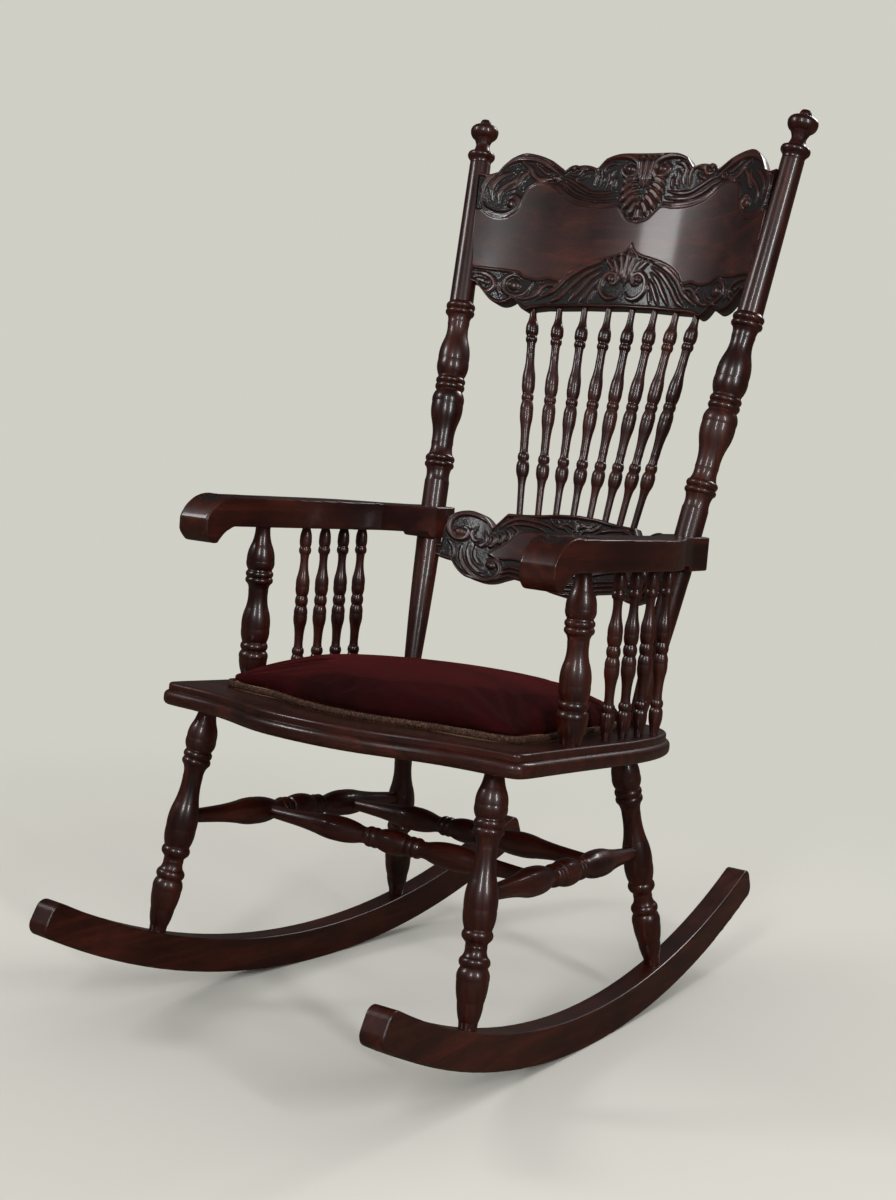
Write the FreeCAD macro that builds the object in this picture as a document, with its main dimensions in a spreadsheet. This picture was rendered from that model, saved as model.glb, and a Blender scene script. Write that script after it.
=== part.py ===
"""Turned rocking armchair: fanned back spindles between two bowed rails, an upholstered
seat on a moulded board, turned legs and stretchers, and a pair of curved runners.

Millimetres. X runs across the chair, the sitter faces -Y, Z is up. The floor is Z = 0
and the origin is on it, midway between the runners and midway along them.
"""
import FreeCAD
import Part
import Sketcher
import math
import os
from FreeCAD import Placement, Rotation, Vector

# Driving sizes, in millimetres and degrees.
SIZES = {
    # runners
    "runner_radius": 1037.0,
    "runner_depth": 42.0,
    "runner_width": 30.0,
    "runner_nose": 13.0,
    "runner_edge": 2.5,
    "runner_front_reach": 458.0,
    "runner_rear_reach": 458.0,
    "rest_point": 17.0,
    "wear_flat": 0.4,
    # legs
    "front_foot_across": 227.5,
    "front_foot_place": -273.0,
    "front_top_across": 207.5,
    "front_top_place": -230.5,
    "rear_foot_across": 205.0,
    "rear_foot_place": 183.0,
    "rear_top_across": 167.0,
    "rear_top_place": 119.0,
    "leg_width": 36.5,
    "foot_socket": 14.0,
    # stretchers
    "stretcher_width": 34.0,
    "side_stretcher_front_height": 225.0,
    "side_stretcher_rear_height": 202.0,
    "cross_stretcher_width": 31.0,
    "front_cross_place": -116.0,
    "rear_cross_place": 38.0,
    "stretcher_socket": 14.0,
    # seat
    "seat_place": -18.0,
    "seat_height": 373.0,
    "seat_slope": 2.86,
    "seat_half_width": 260.0,
    "seat_depth": 484.0,
    "seat_lower_layer": 18.0,
    "seat_upper_layer": 9.0,
    "seat_step": 6.0,
    "seat_lower_round": 7.0,
    "seat_upper_round": 3.5,
    "seat_socket": 12.0,
    # upholstery
    "cushion_half_width": 208.0,
    "cushion_depth": 390.0,
    "cushion_board_thickness": 6.0,
    "cushion_board_inset": 5.0,
    "cushion_crown": 42.0,
    "cushion_dome_width": 552.0,
    "cushion_dome_depth": 500.0,
    "cushion_shoulder": 9.0,
    "braid_width": 9.0,
    "braid_thickness": 3.0,
    "soft_gap": 0.3,
    # back posts
    "back_datum_place": 200.2,
    "back_datum_height": 664.7,
    "back_rake": 12.57,
    "post_across": 201.5,
    "post_splay": 4.92,
    "post_width": 43.5,
    "post_top": 493.0,
    "post_shaft_width": 34.0,
    # crest rail
    "crest_base": 228.0,
    "crest_rise": 235.0,
    "crest_half_span": 226.0,
    "crest_bow": 62.0,
    "crest_half_chord": 218.0,
    "crest_thickness": 22.0,
    "crest_tenon_low": 285.0,
    "crest_tenon_high": 375.0,
    # lower back rail
    "rail_base": -155.0,
    "rail_rise": 113.0,
    "rail_half_span": 188.0,
    "rail_bow": 66.0,
    "rail_half_chord": 185.0,
    "rail_thickness": 20.0,
    "rail_tenon_level": -119.0,
    "rail_tenon_width": 10.0,
    "rail_tenon_length": 24.0,
    "rail_tenon_setback": 6.0,
    # back spindles
    "back_spindle_width": 18.0,
    "back_spindle_top_pitch": 36.2,
    "back_spindle_foot_pitch": 25.8,
    "back_spindle_top": 236.0,
    "back_spindle_foot": -44.0,
    "back_spindle_forward": 3.0,
    "back_spindle_socket": 12.0,
    # arms
    "arm_underside": 575.0,
    "arm_thickness": 36.0,
    "arm_width": 45.0,
    "arm_front": 240.0,
    "arm_roll_drop": 20.0,
    "arm_boss_drop": 13.0,
    "arm_boss_width": 48.0,
    "arm_boss_length": 54.0,
    "arm_socket": 13.0,
    "arm_post_width": 35.6,
    "arm_post_foot_across": 235.0,
    "arm_post_top_across": 233.0,
    "arm_post_place": -124.0,
    "arm_overhang": 11.5,
    "arm_spindle_width": 17.4,
    "arm_spindle_across": 232.0,
    "arm_spindle_first": -40.0,
    "arm_spindle_pitch": 39.0,
    # fits
    "hole_reach": 28.0,
    "socket_clearance": 0.15,
    "rail_gap": 0.3,
}

# Lathe outlines: share of the length, share of the greatest width, belly of the next edge.
POST_OUTLINE = [
    (0.000, 0.46, 0), (0.015, 0.47, 0), (0.060, 0.54, 0.014), (0.239, 0.76, 0), (0.255, 0.7816, 0),
    (0.358, 0.7816, -0.034), (0.381, 0.80, 0), (0.382, 0.83, 0.051), (0.392, 0.83, 0.051),
    (0.403, 0.83, 0), (0.404, 0.78, -0.028), (0.425, 0.70, -0.034), (0.461, 0.85, 0.034),
    (0.494, 1.00, 0.046), (0.515, 0.83, 0), (0.517, 0.85, 0.046), (0.528, 0.85, 0.046),
    (0.538, 0.85, 0), (0.541, 0.83, 0.046), (0.569, 0.99, 0.034), (0.602, 0.82, -0.041),
    (0.635, 0.70, -0.018), (0.648, 0.78, 0), (0.649, 0.83, 0.051), (0.659, 0.83, 0.051),
    (0.670, 0.83, 0), (0.672, 0.77, 0), (0.920, 0.68, -0.028), (0.930, 0.80, 0),
    (0.931, 0.83, 0.028), (0.940, 0.83, 0), (0.942, 0.62, -0.023), (0.955, 0.44, -0.010),
    (0.966, 0.62, 0.035), (0.978, 0.90, 0.045), (0.989, 0.66, 0), (0.990, 0.36, 0.020),
    (1.000, 0.28, 0)]
LEG_OUTLINE = [
    (0.000, 0.55, 0), (0.047, 0.55, 0), (0.074, 0.58, 0.022), (0.142, 0.79, 0.022),
    (0.220, 0.97, 0.041), (0.264, 0.82, 0), (0.269, 0.85, 0.047), (0.299, 0.85, 0),
    (0.304, 0.77, -0.027), (0.338, 0.67, -0.027), (0.358, 0.77, 0), (0.363, 0.85, 0.047),
    (0.395, 0.85, 0), (0.400, 0.84, 0.033), (0.470, 1.00, 0.044), (0.574, 0.82, -0.033),
    (0.682, 0.66, -0.022), (0.723, 0.77, 0), (0.730, 0.85, 0.049), (0.758, 0.85, 0.049),
    (0.787, 0.85, 0), (0.791, 0.84, 0.041), (0.838, 0.99, 0.033), (0.899, 0.79, -0.019),
    (0.953, 0.60, 0), (1.000, 0.60, 0)]
ARM_POST_OUTLINE = [
    (0.000, 0.64, 0), (0.056, 0.64, 0), (0.093, 0.76, 0.028), (0.185, 1.00, 0.042),
    (0.227, 0.87, 0), (0.234, 0.88, 0.045), (0.273, 0.88, 0), (0.280, 0.87, 0.028),
    (0.356, 1.00, 0.042), (0.472, 0.80, -0.028), (0.569, 0.70, -0.017), (0.606, 0.79, 0),
    (0.613, 0.87, 0.051), (0.648, 0.87, 0.051), (0.683, 0.87, 0), (0.690, 0.84, 0.034),
    (0.741, 0.98, 0.034), (0.833, 0.73, -0.037), (0.940, 0.53, 0), (1.000, 0.53, 0)]
ARM_SPINDLE_OUTLINE = [
    (0.000, 0.57, 0), (0.054, 0.57, 0), (0.099, 0.75, 0.040), (0.167, 0.97, 0.029),
    (0.194, 0.78, 0), (0.198, 0.80, 0.057), (0.234, 0.80, 0), (0.239, 0.69, -0.017),
    (0.288, 0.66, -0.023), (0.365, 0.86, 0.040), (0.428, 1.00, 0.046), (0.477, 0.80, 0),
    (0.482, 0.83, 0.069), (0.532, 0.83, 0), (0.536, 0.80, 0.046), (0.590, 1.00, 0.040),
    (0.653, 0.86, -0.023), (0.725, 0.61, -0.017), (0.775, 0.69, 0), (0.779, 0.80, 0.057),
    (0.815, 0.80, 0), (0.820, 0.78, 0.029), (0.860, 0.89, 0.029), (0.910, 0.69, -0.017),
    (0.946, 0.55, 0), (1.000, 0.55, 0)]
BACK_SPINDLE_OUTLINE = [
    (0.000, 0.49, 0), (0.039, 0.49, 0), (0.128, 0.53, -0.022), (0.180, 0.72, 0.044),
    (0.223, 1.00, 0.044), (0.256, 0.76, 0), (0.259, 0.78, 0.056), (0.289, 0.78, 0),
    (0.292, 0.69, -0.022), (0.334, 0.66, -0.033), (0.423, 0.83, 0.033), (0.482, 1.00, 0.044),
    (0.528, 0.80, 0), (0.531, 0.81, 0.061), (0.561, 0.81, 0), (0.564, 0.80, 0.044),
    (0.613, 1.00, 0.033), (0.672, 0.83, -0.033), (0.744, 0.66, -0.022), (0.797, 0.69, 0),
    (0.800, 0.78, 0.056), (0.826, 0.78, 0), (0.830, 0.77, 0.044), (0.856, 0.98, 0.044),
    (0.895, 0.72, -0.022), (0.934, 0.51, 0), (0.961, 0.49, 0), (1.000, 0.49, 0)]
STRETCHER_OUTLINE = [
    (0.000, 0.47, 0), (0.041, 0.50, 0), (0.112, 0.59, -0.018), (0.219, 0.85, 0.029),
    (0.291, 1.00, 0.035), (0.367, 0.76, -0.018), (0.398, 0.65, 0), (0.403, 0.71, 0.053),
    (0.423, 0.71, 0.053), (0.444, 0.71, 0), (0.449, 0.68, 0), (0.452, 0.79, 0.100),
    (0.548, 0.79, 0), (0.551, 0.68, 0), (0.556, 0.71, 0.053), (0.577, 0.71, 0.053),
    (0.597, 0.71, 0), (0.602, 0.65, -0.018), (0.633, 0.76, 0.035), (0.709, 1.00, 0.029),
    (0.781, 0.85, -0.018), (0.888, 0.59, 0), (0.959, 0.50, 0), (1.000, 0.47, 0)]

# Pull points of the smooth outlines: right half, from the middle of the front to the rear.
SEAT_HALF = [
    (0.133, -0.620), (0.303, -0.601), (0.473, -0.558), (0.644, -0.525), (0.814, -0.515),
    (0.947, -0.512), (1.008, -0.492), (1.000, -0.393), (0.996, -0.186), (1.004, 0.041),
    (0.955, 0.227), (0.841, 0.355), (0.644, 0.393), (0.227, 0.384)]
CUSHION_HALF = [
    (0.139, -0.592), (0.347, -0.559), (0.556, -0.505), (0.764, -0.477), (0.926, -0.479),
    (1.014, -0.462), (1.019, -0.385), (0.991, -0.154), (0.954, 0.103), (0.880, 0.282),
    (0.750, 0.390), (0.509, 0.431), (0.185, 0.426)]

# Half outlines of the carved rails, from the middle of the lower edge round to the upper.
CREST_HALF = [
    (0.250, 0.060, 0), (0.522, 0.034, 0), (0.602, 0.017, 0.014), (0.708, 0.054, 0),
    (0.735, 0.054, 0.034), (0.903, 0.060, 0), (0.955, 0.123, 0), (1.000, 0.783, 0),
    (0.930, 0.783, 0), (0.898, 0.804, 0.030), (0.748, 0.949, 0.010), (0.597, 0.919, 0.004),
    (0.518, 0.868, 0.020), (0.440, 0.902, 0.014), (0.323, 0.898, 0), (0.270, 0.962, 0.006),
    (0.133, 1.000, 0)]
RAIL_HALF = [
    (0.202, 0.044, -0.020), (0.426, 0.212, 0.048), (0.798, 0.115, 0.010), (1.000, 0.257, 0),
    (1.000, 0.380, 0), (0.904, 0.380, 0), (0.904, 0.717, 0.058), (0.681, 0.788, 0),
    (0.596, 0.743, 0.014), (0.479, 0.920, 0.048)]
RAIL_FRONT_BELLY = 0.026

doc = FreeCAD.newDocument("RockingArmchair")
sheet = doc.addObject("Spreadsheet::Sheet", "Sizes")
values = {}
nodes = {}
pieces = {}


def note(alias, value):
    """Writes one size into the next row of the sheet."""
    row = len(values) + 1
    values[alias] = value
    sheet.set("A%d" % row, alias)
    sheet.set("B%d" % row, "%.9g" % value)
    sheet.setAlias("B%d" % row, alias)


for size_name, size in SIZES.items():
    note(size_name, size)
doc.recompute()


def mix(**shares):
    """A length made of shares of named sizes."""
    return shares


def measure(length):
    """Millimetres of a mixed length."""
    return sum(values[alias] * share for alias, share in length.items())


def formula(length):
    """The same mixed length as an expression on the sheet."""
    terms = ["Sizes.%s * %.6g" % (alias, share) for alias, share in length.items()]
    return " + ".join(terms) if terms else "0"


def less(first, second):
    """First mixed length minus the second."""
    result = dict(first)
    for alias, share in second.items():
        result[alias] = result.get(alias, 0) - share
    return result


def shares_of(points, across, along):
    """Gives outline points in shares as mixed lengths of two named sizes."""
    return [({across: x}, {along: y}, {across: belly} if belly else {}) for x, y, belly in points]


def mirrored(half, closing_belly):
    """Whole outline from its right half, going round counter-clockwise."""
    left = []
    for i in range(len(half) - 1, -1, -1):
        belly = half[i - 1][2] if i else closing_belly
        left.append((-half[i][0], half[i][1], belly))
    return half + left


def smooth_outline(name, half, across, deep, margin, placement):
    """Smooth closed outline pulled through mirrored points, moved inward by a margin."""
    right = [Vector(x * values[across], y * values[deep], 0) for x, y in half]
    points = right + [Vector(-point.x, point.y, 0) for point in reversed(right)]
    pulls = []
    for i, point in enumerate(points):
        way = (points[(i + 1) % len(points)] - points[i - 1]).normalize()
        pulls.append(point + Vector(-way.y, way.x, 0) * margin)
    curve = Part.BSplineCurve()
    curve.buildFromPoles(pulls, True, 3)
    outline = doc.addObject("Part::Feature", name)
    outline.Shape = Part.Wire([curve.toShape()])
    outline.Placement = placement
    return outline


def draw(sketch, points):
    """Closed outline of lines and bowed edges, every corner and bow tied to the sheet."""
    count = len(points)
    spots = [Vector(measure(x), measure(y), 0) for x, y, belly in points]
    edges = []
    ends = []
    rules = []
    bound = []
    for i, (x, y, belly) in enumerate(points):
        start = spots[i]
        end = spots[(i + 1) % count]
        if not belly:
            edges.append(Part.LineSegment(start, end))
            ends.append((1, 2))
            continue
        bow = measure(belly)
        chord = end - start
        middle = (start + end) * 0.5 + Vector(chord.y, -chord.x, 0).normalize() * bow
        if bow > 0:
            edges.append(Part.Arc(start, middle, end))
            ends.append((1, 2))
        else:
            edges.append(Part.Arc(end, middle, start))
            ends.append((2, 1))
    sketch.addGeometry(edges, False)
    for i in range(count):
        j = (i + 1) % count
        rules.append(Sketcher.Constraint("Coincident", i, ends[i][1], j, ends[j][0]))
    for i, (x, y, belly) in enumerate(points):
        bound.append((len(rules), formula(x)))
        rules.append(Sketcher.Constraint("DistanceX", -1, 1, i, ends[i][0], spots[i].x))
        bound.append((len(rules), formula(y)))
        rules.append(Sketcher.Constraint("DistanceY", -1, 1, i, ends[i][0], spots[i].y))
        if belly:
            after = points[(i + 1) % count]
            run = formula(less(after[0], x))
            rise = formula(less(after[1], y))
            bow = formula(belly)
            size = "abs(((%s)^2 + (%s)^2) / (8 * (%s)) + (%s) / 2)" % (run, rise, bow, bow)
            bound.append((len(rules), size))
            chord = (spots[(i + 1) % count] - spots[i]).Length
            bow = abs(measure(belly))
            radius = chord ** 2 / (8 * bow) + bow / 2
            rules.append(Sketcher.Constraint("Radius", i, radius))
    sketch.addConstraint(rules)
    for index, text in bound:
        if text != "0":
            sketch.setExpression("Constraints[%d]" % index, text)


def body_sketch(body, name, plane):
    """Sketch on one of a body's own origin planes."""
    sketch = body.newObject("Sketcher::SketchObject", name)
    support = [feature for feature in body.Origin.OriginFeatures if feature.Role == plane]
    sketch.AttachmentSupport = [(support[0], "")]
    sketch.MapMode = "FlatFace"
    return sketch


def aim(start, end):
    """Placement whose Z axis runs from one point to another."""
    return Placement(start, Rotation(Vector(0, 0, 1), end - start))


def turned(name, outline, width, start, end):
    """Piece turned on a lathe, standing from start to end."""
    length = name + "_length"
    note(length, (end - start).Length)
    points = [({}, {}, {})]
    points += shares_of([(share / 2, place, belly) for place, share, belly in outline], width, length)
    points.append(({}, {length: 1}, {}))
    body = doc.addObject("PartDesign::Body", name + "_turning")
    profile = body_sketch(body, name + "_profile", "XZ_Plane")
    draw(profile, points)
    turning = body.newObject("PartDesign::Revolution", name + "_turned")
    turning.Profile = profile
    turning.ReferenceAxis = (profile, ["V_Axis"])
    turning.Angle = 360
    profile.Visibility = False
    body.Placement = aim(start, end)
    pieces[name] = (start, end, outline, width)
    return keep(name, body)


def keep(name, item):
    """Names a finished sub-part after its node."""
    item.Label = name
    nodes[name] = item
    return item


def rod(name, radius, length, placement):
    """Plain cylinder with its radius and length tied to the sheet."""
    cylinder = doc.addObject("Part::Cylinder", name)
    cylinder.setExpression("Radius", radius)
    cylinder.setExpression("Height", length)
    cylinder.Placement = placement
    return cylinder


def socket(name, top):
    """Blind hole for one end of a turned piece, a hair wider than that end."""
    start, end, outline, width = pieces[name]
    tip, far = (end, start) if top else (start, end)
    share = outline[-1 if top else 0][1]
    way = (far - tip).normalize()
    radius = "Sizes.%s * %.6g + Sizes.socket_clearance" % (width, share / 2)
    place = aim(tip - way * values["socket_clearance"], far)
    label = name + ("_top_hole" if top else "_foot_hole")
    return rod(label, radius, "Sizes.hole_reach", place)


def bored(name, blank, holes):
    """Blank with holes cut out of it, kept as a node."""
    if nodes.get(name) is blank:
        blank.Label = name + "_blank"
    tool = holes[0]
    if len(holes) > 1:
        tool = doc.addObject("Part::MultiFuse", name + "_holes")
        tool.Shapes = holes
    cut = doc.addObject("Part::Cut", name + "_bored")
    cut.Base = blank
    cut.Tool = tool
    return keep(name, cut)


def extruded(name, sketch, ahead, behind="0"):
    """Solid made by pushing a flat outline along its normal."""
    solid = doc.addObject("Part::Extrusion", name)
    solid.Base = sketch
    solid.DirMode = "Normal"
    solid.Solid = True
    solid.setExpression("LengthFwd", ahead)
    solid.setExpression("LengthRev", behind)
    return solid


def flat_outline(name, points, placement):
    """Sketch of one outline in a plane of its own."""
    sketch = doc.addObject("Sketcher::SketchObject", name)
    draw(sketch, points)
    sketch.Placement = placement
    return sketch


def common(name, shapes):
    """Solid shared by several shapes."""
    shared = doc.addObject("Part::MultiCommon", name)
    shared.Shapes = shapes
    return shared


def joined(name, shapes):
    """Several touching shapes as one solid."""
    whole = doc.addObject("Part::MultiFuse", name)
    whole.Shapes = shapes
    whole.Refine = True
    return whole


def drop(name, base, tool):
    """One shape less another."""
    cut = doc.addObject("Part::Cut", name)
    cut.Base = base
    cut.Tool = tool
    return cut


# Frames and curves that several pieces share.
SLOPE = math.tan(math.radians(values["seat_slope"]))
SEAT_FRAME = Placement(Vector(0, values["seat_place"], values["seat_height"]),
                       Rotation(Vector(1, 0, 0), -values["seat_slope"]))
SEAT_THICKNESS = values["seat_lower_layer"] + values["seat_upper_layer"]
BACK_FRAME = Placement(Vector(0, values["back_datum_place"], values["back_datum_height"]),
                       Rotation(Vector(1, 0, 0), -values["back_rake"]))
SPLAY = math.tan(math.radians(values["post_splay"]))
SIDES = (("right", 1), ("left", -1))


def seat_top(place):
    """Height of the seat's upper face at a place along Y."""
    return values["seat_height"] - (place - values["seat_place"]) * SLOPE


def seat_under(place):
    """Height of the seat's lower face at a place along Y."""
    return seat_top(place) - SEAT_THICKNESS / math.cos(math.radians(values["seat_slope"]))


def runner_top(place):
    """Height of a runner's upper curve at a place along Y."""
    radius = values["runner_radius"] - values["runner_depth"]
    rise = values["runner_radius"] - values["wear_flat"]
    return rise - math.sqrt(radius ** 2 - (place - values["rest_point"]) ** 2)


def back_point(across, depth, level):
    """Point of the back in the chair's frame: across, behind the posts' plane, up the rake."""
    return BACK_FRAME.multVec(Vector(across, depth, level))


def bow_depth(rail, across):
    """How far a bowed rail's middle lies behind the posts at a distance from the centre."""
    bow = values[rail + "_bow"]
    chord = values[rail + "_half_chord"]
    radius = (chord ** 2 + bow ** 2) / (2 * bow)
    return math.sqrt(radius ** 2 - across ** 2) - (radius - bow)


def along(start, end, height):
    """Point of the line from start to end at a height."""
    return start + (end - start) * ((height - start.z) / (end.z - start.z))


def at_place(start, end, place):
    """Point of the line from start to end at a place along Y."""
    return start + (end - start) * ((place - start.y) / (end.y - start.y))


def stretched(start, end, before, after):
    """The line's two ends moved outward, to seat a piece in its sockets."""
    way = (end - start).normalize()
    return start - way * before, end + way * after


def leg(name, side, corner):
    """One turned leg, from its socket in a runner to its socket in the seat."""
    foot_place = values[corner + "_foot_place"]
    top_place = values[corner + "_top_place"]
    foot = Vector(side * values[corner + "_foot_across"], foot_place, runner_top(foot_place))
    top = Vector(side * values[corner + "_top_across"], top_place, seat_under(top_place))
    start, end = stretched(foot, top, values["foot_socket"], values["seat_socket"])
    return turned(name, LEG_OUTLINE, "leg_width", start, end)


def runner_line():
    """Where the right runner crosses the middle of the chair, and the way that it runs."""
    front = Vector(values["front_foot_across"], values["front_foot_place"], 0)
    rear = Vector(values["rear_foot_across"], values["rear_foot_place"], 0)
    way = (rear - front).normalize()
    return front - way * (front.y / way.y), way


def end_corner(reach):
    """Place of a runner's lower end corner in its sketch, so that the rounded end has this reach."""
    nose = values["runner_nose"]
    inside = values["runner_radius"] - nose
    span = abs(reach / runner_line()[1].y - values["rest_point"])
    turn = math.asin((span - nose) / inside) + math.asin(nose / inside)
    return values["rest_point"] + math.copysign(values["runner_radius"] * math.sin(turn), reach)


def runner(name, side):
    """Curved runner: a bent board with rounded ends and a worn flat where it rests."""
    body = doc.addObject("PartDesign::Body", name + "_board")
    sketch = body_sketch(body, name + "_curve", "YZ_Plane")
    low = values["runner_radius"]
    high = low - values["runner_depth"]
    centre = Vector(values["rest_point"], low - values["wear_flat"], 0)
    places = (values["runner_front_corner"], values["runner_rear_corner"])
    turns = [math.asin((place - centre.x) / low) - math.pi / 2 for place in places]
    rim = [Part.ArcOfCircle(Part.Circle(centre, Vector(0, 0, 1), size), *turns) for size in (low, high)]
    corners = [[centre + Vector(math.cos(t), math.sin(t), 0) * size for t in turns] for size in (low, high)]
    sketch.addGeometry(rim, False)
    sketch.addGeometry([Part.LineSegment(corners[0][i], corners[1][i]) for i in (0, 1)], False)
    rules = [Sketcher.Constraint("Coincident", 0, 3, 1, 3)]
    for line, end in ((2, 1), (3, 2)):
        rules.append(Sketcher.Constraint("Coincident", line, 1, 0, end))
        rules.append(Sketcher.Constraint("Coincident", line, 2, 1, end))
        rules.append(Sketcher.Constraint("PointOnObject", 0, 3, line))
    bound = [("DistanceX", (-1, 1, 0, 3), centre.x, "Sizes.rest_point"),
             ("DistanceY", (-1, 1, 0, 3), centre.y, "Sizes.runner_radius - Sizes.wear_flat"),
             ("Radius", (0,), low, "Sizes.runner_radius"),
             ("Radius", (1,), high, "Sizes.runner_radius - Sizes.runner_depth"),
             ("DistanceX", (-1, 1, 0, 1), places[0], "Sizes.runner_front_corner"),
             ("DistanceX", (-1, 1, 0, 2), places[1], "Sizes.runner_rear_corner")]
    first = len(rules)
    for kind, geometry, size, text in bound:
        rules.append(Sketcher.Constraint(kind, *geometry, size))
    sketch.addConstraint(rules)
    for i, (kind, geometry, size, text) in enumerate(bound):
        sketch.setExpression("Constraints[%d]" % (first + i), text)
    pad = body.newObject("PartDesign::Pad", name + "_pad")
    pad.Profile = sketch
    pad.setExpression("Length", "Sizes.runner_width")
    pad.Midplane = True
    doc.recompute()
    nose = body.newObject("PartDesign::Fillet", name + "_nose")
    nose.Base = (pad, cross_edges(pad.Shape))
    nose.setExpression("Radius", "Sizes.runner_nose")
    doc.recompute()
    arris = body.newObject("PartDesign::Fillet", name + "_arris")
    arris.Base = (nose, side_faces(nose.Shape))
    arris.setExpression("Radius", "Sizes.runner_edge")
    middle, way = runner_line()
    middle.x *= side
    way.x *= side
    body.Placement = Placement(middle, Rotation(Vector(0, 1, 0), way))
    floor = doc.addObject("Part::Box", name + "_floor")
    floor.setExpression("Length", "Sizes.runner_radius")
    floor.setExpression("Width", "Sizes.runner_radius")
    floor.setExpression("Height", "Sizes.runner_depth")
    reach = values["runner_radius"] / 2
    floor.Placement = Placement(Vector(-reach, -reach, -values["runner_depth"]), Rotation())
    worn = drop(name + "_worn", body, floor)
    return bored(name, worn, [socket(stem + name[7:], False) for stem in ("front_leg_", "rear_leg_")])


def cross_edges(shape):
    """Names of the straight edges that run across a board."""
    found = []
    for number, edge in enumerate(shape.Edges, 1):
        box = edge.BoundBox
        if box.XLength > 1 and box.YLength < 1e-3 and box.ZLength < 1e-3:
            found.append("Edge%d" % number)
    return found


def side_faces(shape):
    """Names of the two flat faces that look across a board."""
    found = []
    for number, face in enumerate(shape.Faces, 1):
        if face.BoundBox.XLength < 1e-3:
            found.append("Face%d" % number)
    return found


def rounded(name, base, radius, edges):
    """Shape with some of its edges rounded."""
    fillet = doc.addObject("Part::Fillet", name)
    fillet.Base = base
    fillet.Edges = [(number, radius, radius) for number in edges]
    return fillet


def rim_edges(shape, above, below):
    """Numbers of a slab's long rims: the upper one, the lower one or both."""
    found = []
    for number, edge in enumerate(shape.Edges, 1):
        if edge.Length < 4 * values["seat_step"] + shape.BoundBox.ZLength:
            continue
        offset = SEAT_FRAME.inverse().multVec(edge.CenterOfMass).z
        middle = SEAT_FRAME.inverse().multVec(shape.CenterOfMass).z
        if (above and offset > middle) or (below and offset < middle):
            found.append(number)
    return found


def in_seat(depth):
    """The seat's frame moved down by a depth from its upper face."""
    return SEAT_FRAME.multiply(Placement(Vector(0, 0, -depth), Rotation()))


def seat(holes):
    """Seat board: a thick lower layer and a thinner one stepped in on top of it."""
    size = ("seat_half_width", "seat_depth")
    low = smooth_outline("seat_lower_outline", SEAT_HALF, *size, 0, in_seat(SEAT_THICKNESS))
    high = smooth_outline("seat_upper_outline", SEAT_HALF, *size, values["seat_step"],
                          in_seat(values["seat_upper_layer"]))
    lower = extruded("seat_lower", low, "Sizes.seat_lower_layer")
    upper = extruded("seat_upper", high, "Sizes.seat_upper_layer")
    doc.recompute()
    lower = rounded("seat_lower_rim", lower, values["seat_lower_round"], rim_edges(lower.Shape, True, True))
    upper = rounded("seat_upper_rim", upper, values["seat_upper_round"], rim_edges(upper.Shape, True, False))
    bored("seat", joined("seat_blank", [lower, upper]), holes)


def cushion():
    """Upholstery: a thin board, a crowned cover standing on it and a braid round the foot."""
    size = ("cushion_half_width", "cushion_depth")
    lift = values["cushion_board_thickness"]
    gap = values["soft_gap"]
    base = in_seat(-lift - gap)
    board = smooth_outline("board_outline", CUSHION_HALF, *size, values["cushion_board_inset"], SEAT_FRAME)
    keep("cushion_board", extruded("cushion_board_slab", board, "Sizes.cushion_board_thickness"))
    flat = smooth_outline("cushion_outline", CUSHION_HALF, *size, gap, base)
    block = extruded("cushion_block", flat, "Sizes.cushion_crown")
    dome = doc.addObject("Part::Ellipsoid", "cushion_dome")
    dome.setExpression("Radius1", "Sizes.cushion_crown")
    dome.setExpression("Radius2", "Sizes.cushion_dome_width / 2")
    dome.setExpression("Radius3", "Sizes.cushion_dome_depth / 2")
    dome.Angle1 = 0
    middle = values["cushion_depth"] * (CUSHION_HALF[0][1] + CUSHION_HALF[-1][1]) / 2
    dome.Placement = base.multiply(Placement(Vector(0, middle, 0), Rotation()))
    crowned = common("cushion_crowned", [block, dome])
    doc.recompute()
    shoulder = rounded("cushion_shoulder_round", crowned, values["cushion_shoulder"],
                       shoulder_edges(crowned.Shape))
    keep("seat_cushion", shoulder)
    outer = smooth_outline("braid_outer", CUSHION_HALF, *size, -values["braid_thickness"], in_seat(-gap))
    inner = smooth_outline("braid_inner", CUSHION_HALF, *size, 0, in_seat(-gap))
    keep("cushion_braid", drop("braid_ring", extruded("braid_outer_block", outer, "Sizes.braid_width"),
                               extruded("braid_inner_block", inner, "Sizes.braid_width")))


def shoulder_edges(shape):
    """Numbers of the edges where the crown meets the sides."""
    found = []
    for number, edge in enumerate(shape.Edges, 1):
        level = SEAT_FRAME.inverse().multVec(edge.CenterOfMass).z
        if edge.Length > values["cushion_depth"] and level > values["cushion_crown"] * 0.25:
            found.append(number)
    return found


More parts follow.
